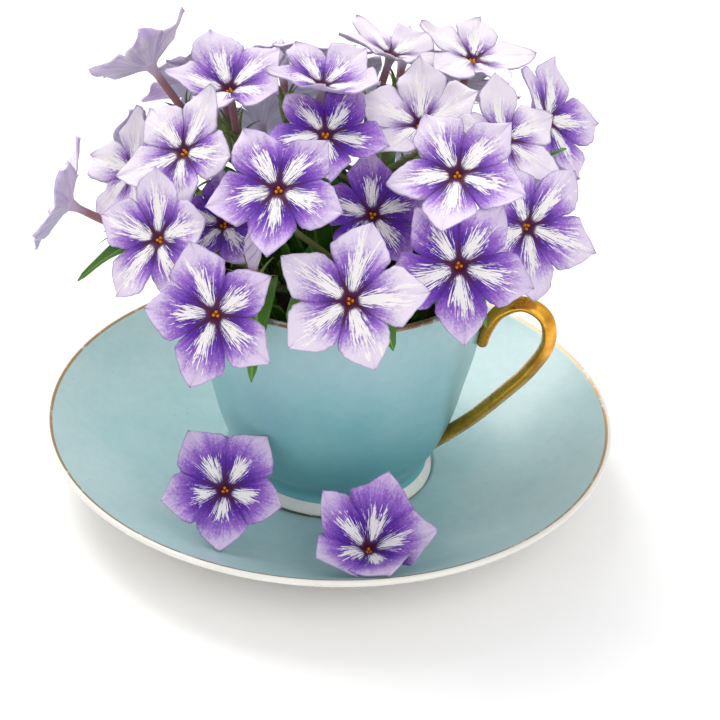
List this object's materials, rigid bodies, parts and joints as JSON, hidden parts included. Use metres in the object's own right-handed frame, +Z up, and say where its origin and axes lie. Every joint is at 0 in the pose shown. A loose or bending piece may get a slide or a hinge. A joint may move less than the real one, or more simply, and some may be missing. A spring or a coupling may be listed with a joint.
{
  "type": "potted phlox",
  "caption": "Annual phlox with star-shaped violet and white blooms on leafy stems, growing in a glazed teacup that stands on its saucer.",
  "frame": {"origin": "bottom centre of the saucer's foot ring, on the surface that the plant stands on", "axes": "+Z up, -Y towards the viewer's side that the picture shows, +X towards the cup's handle"},
  "size_m": [0.1267, 0.125, 0.1018],
  "materials": {
    "glaze": "pale blue gloss glaze",
    "gilding": "worn burnished gold over ceramic",
    "soil": "damp crumbly potting soil",
    "green": "matt leaf green",
    "petals": "satin violet petals with white flames"
  },
  "bodies": {
    "root": {"saucer": "glaze", "cup": "glaze", "cup_handle": "gilding", "potting_soil": "soil", "stem_front_left": "green", "stem_front": "green", "stem_front_right": "green", "stem_left": "green", "stem_crown_left": "green", "stem_crown": "green", "stem_right": "green", "stem_crown_back": "green", "stem_back_right": "green", "stem_back_left": "green", "bloom_front_left_low": "petals", "bloom_front_left_high": "petals", "bloom_front_left_inner": "petals", "bloom_front_low": "petals", "bloom_front_high": "petals", "bloom_front_top": "petals", "bloom_front_right_low": "petals", "bloom_front_right_high": "petals", "bloom_right_low": "petals", "bloom_left_low": "petals", "bloom_left_middle": "petals", "bloom_left_high": "petals", "bloom_crown_left": "petals", "bloom_crown_far_left": "petals", "bloom_crown_back_left": "petals", "bloom_crown": "petals", "bloom_crown_front": "petals", "bloom_crown_right": "petals", "bloom_right_middle": "petals", "bloom_right_high": "petals", "bloom_right_back": "petals", "bloom_crown_back": "petals", "bloom_crown_back_right": "petals", "bloom_crown_far_right": "petals", "bloom_back_right_low": "petals", "bloom_back_right_high": "petals", "bloom_back_high": "petals", "bloom_back_left_low": "petals", "bloom_back_left_side": "petals", "bloom_back_left_high": "petals", "fallen_bloom_left": "petals", "fallen_bloom_front": "petals", "bud_front_left": "petals", "bud_crown_back": "petals", "bud_back_right": "petals"}
  },
  "joints": []
}
